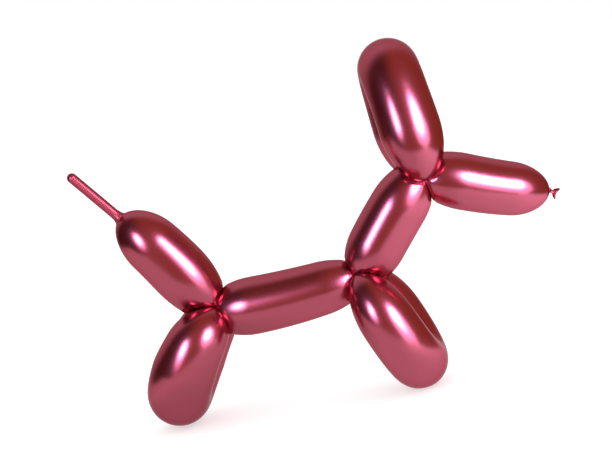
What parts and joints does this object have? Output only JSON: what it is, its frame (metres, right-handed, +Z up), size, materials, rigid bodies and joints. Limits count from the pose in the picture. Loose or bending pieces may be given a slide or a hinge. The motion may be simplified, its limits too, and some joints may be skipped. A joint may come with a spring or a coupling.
{
  "type": "balloon poodle",
  "caption": "Balloon dog twisted from one long metallic latex modelling balloon, standing on its folded legs.",
  "frame": {"origin": "on the floor, under the middle of the dog's bounding box", "axes": "+X towards the snout, +Y towards the dog's left side, +Z up"},
  "size_m": [0.427, 0.1116, 0.3129],
  "materials": {
    "metallic_latex": "metallic mauve-pink balloon latex, inflated and shiny"
  },
  "bodies": {
    "root": {"twisted_balloon": "metallic_latex"}
  },
  "joints": []
}
